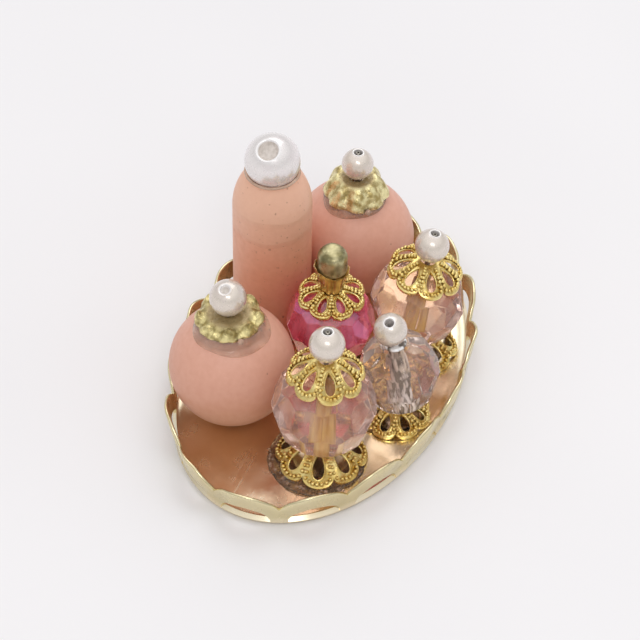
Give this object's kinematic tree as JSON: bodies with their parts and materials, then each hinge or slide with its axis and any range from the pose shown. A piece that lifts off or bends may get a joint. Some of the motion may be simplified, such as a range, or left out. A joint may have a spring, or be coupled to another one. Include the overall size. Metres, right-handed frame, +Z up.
{
  "type": "dolls house vanity tray with scent bottles",
  "caption": "Oval gilt tray with a pierced scalloped edge, carrying miniature scent bottles made of beads, filigree bead caps and pearls.",
  "frame": {"origin": "centre of the tray's flat underside", "axes": "+Z up from the underside, +X along the tray's long axis, -Y towards the short clear bottles"},
  "size_m": [0.0342, 0.023, 0.0196],
  "materials": {
    "pale_gold_tray": "bright pale gold plate, polished, fine scratches",
    "gold_filigree": "bright yellow gold plate, granulated",
    "antique_brass": "antique greenish brass, worn lighter on the lobes",
    "grey_pin": "dull grey wire",
    "peach_bead": "satin peach with fine dark specks",
    "pearl": "white imitation pearl, glossy nacre",
    "pale_pink_glass": "clear pale pink, cut and polished",
    "rose_glass": "hot pink with a rainbow lustre",
    "crystal_glass": "clear, cut and polished",
    "amber_glass": "golden amber, glossy",
    "silver_liner": "bright silver",
    "clear_glue": "clear glue, glossy and uneven"
  },
  "bodies": {
    "root": {"back_ball_base_glue": "clear_glue", "back_ball_body": "peach_bead", "back_ball_cap": "antique_brass", "back_ball_cap_glue": "clear_glue", "back_ball_pin": "grey_pin", "back_ball_stopper": "pearl", "crystal_bottle_base_glue": "clear_glue", "crystal_bottle_body": "crystal_glass", "crystal_bottle_crimp": "silver_liner", "crystal_bottle_foot": "gold_filigree", "crystal_bottle_liner": "silver_liner", "crystal_bottle_pin": "grey_pin", "crystal_bottle_stopper": "pearl", "front_ball_base_glue": "clear_glue", "front_ball_body": "peach_bead", "front_ball_cap": "antique_brass", "front_ball_cap_glue": "clear_glue", "front_ball_pin": "grey_pin", "front_ball_stopper": "pearl", "front_clear_base_glue": "clear_glue", "front_clear_body": "pale_pink_glass", "front_clear_collar": "gold_filigree", "front_clear_foot": "gold_filigree", "front_clear_pin": "grey_pin", "front_clear_stopper": "pearl", "right_clear_base_glue": "clear_glue", "right_clear_body": "pale_pink_glass", "right_clear_collar": "gold_filigree", "right_clear_foot": "gold_filigree", "right_clear_pin": "grey_pin", "right_clear_stopper": "pearl", "rose_bottle_base_glue": "clear_glue", "rose_bottle_body": "rose_glass", "rose_bottle_collar": "gold_filigree", "rose_bottle_foot": "gold_filigree", "rose_bottle_pin": "grey_pin", "rose_bottle_stopper_cone": "amber_glass", "rose_bottle_stopper_finial": "antique_brass", "tall_bottle_base_glue": "clear_glue", "tall_bottle_body": "peach_bead", "tall_bottle_neck_glue": "clear_glue", "tall_bottle_stopper": "pearl", "tray": "pale_gold_tray"}
  },
  "joints": []
}
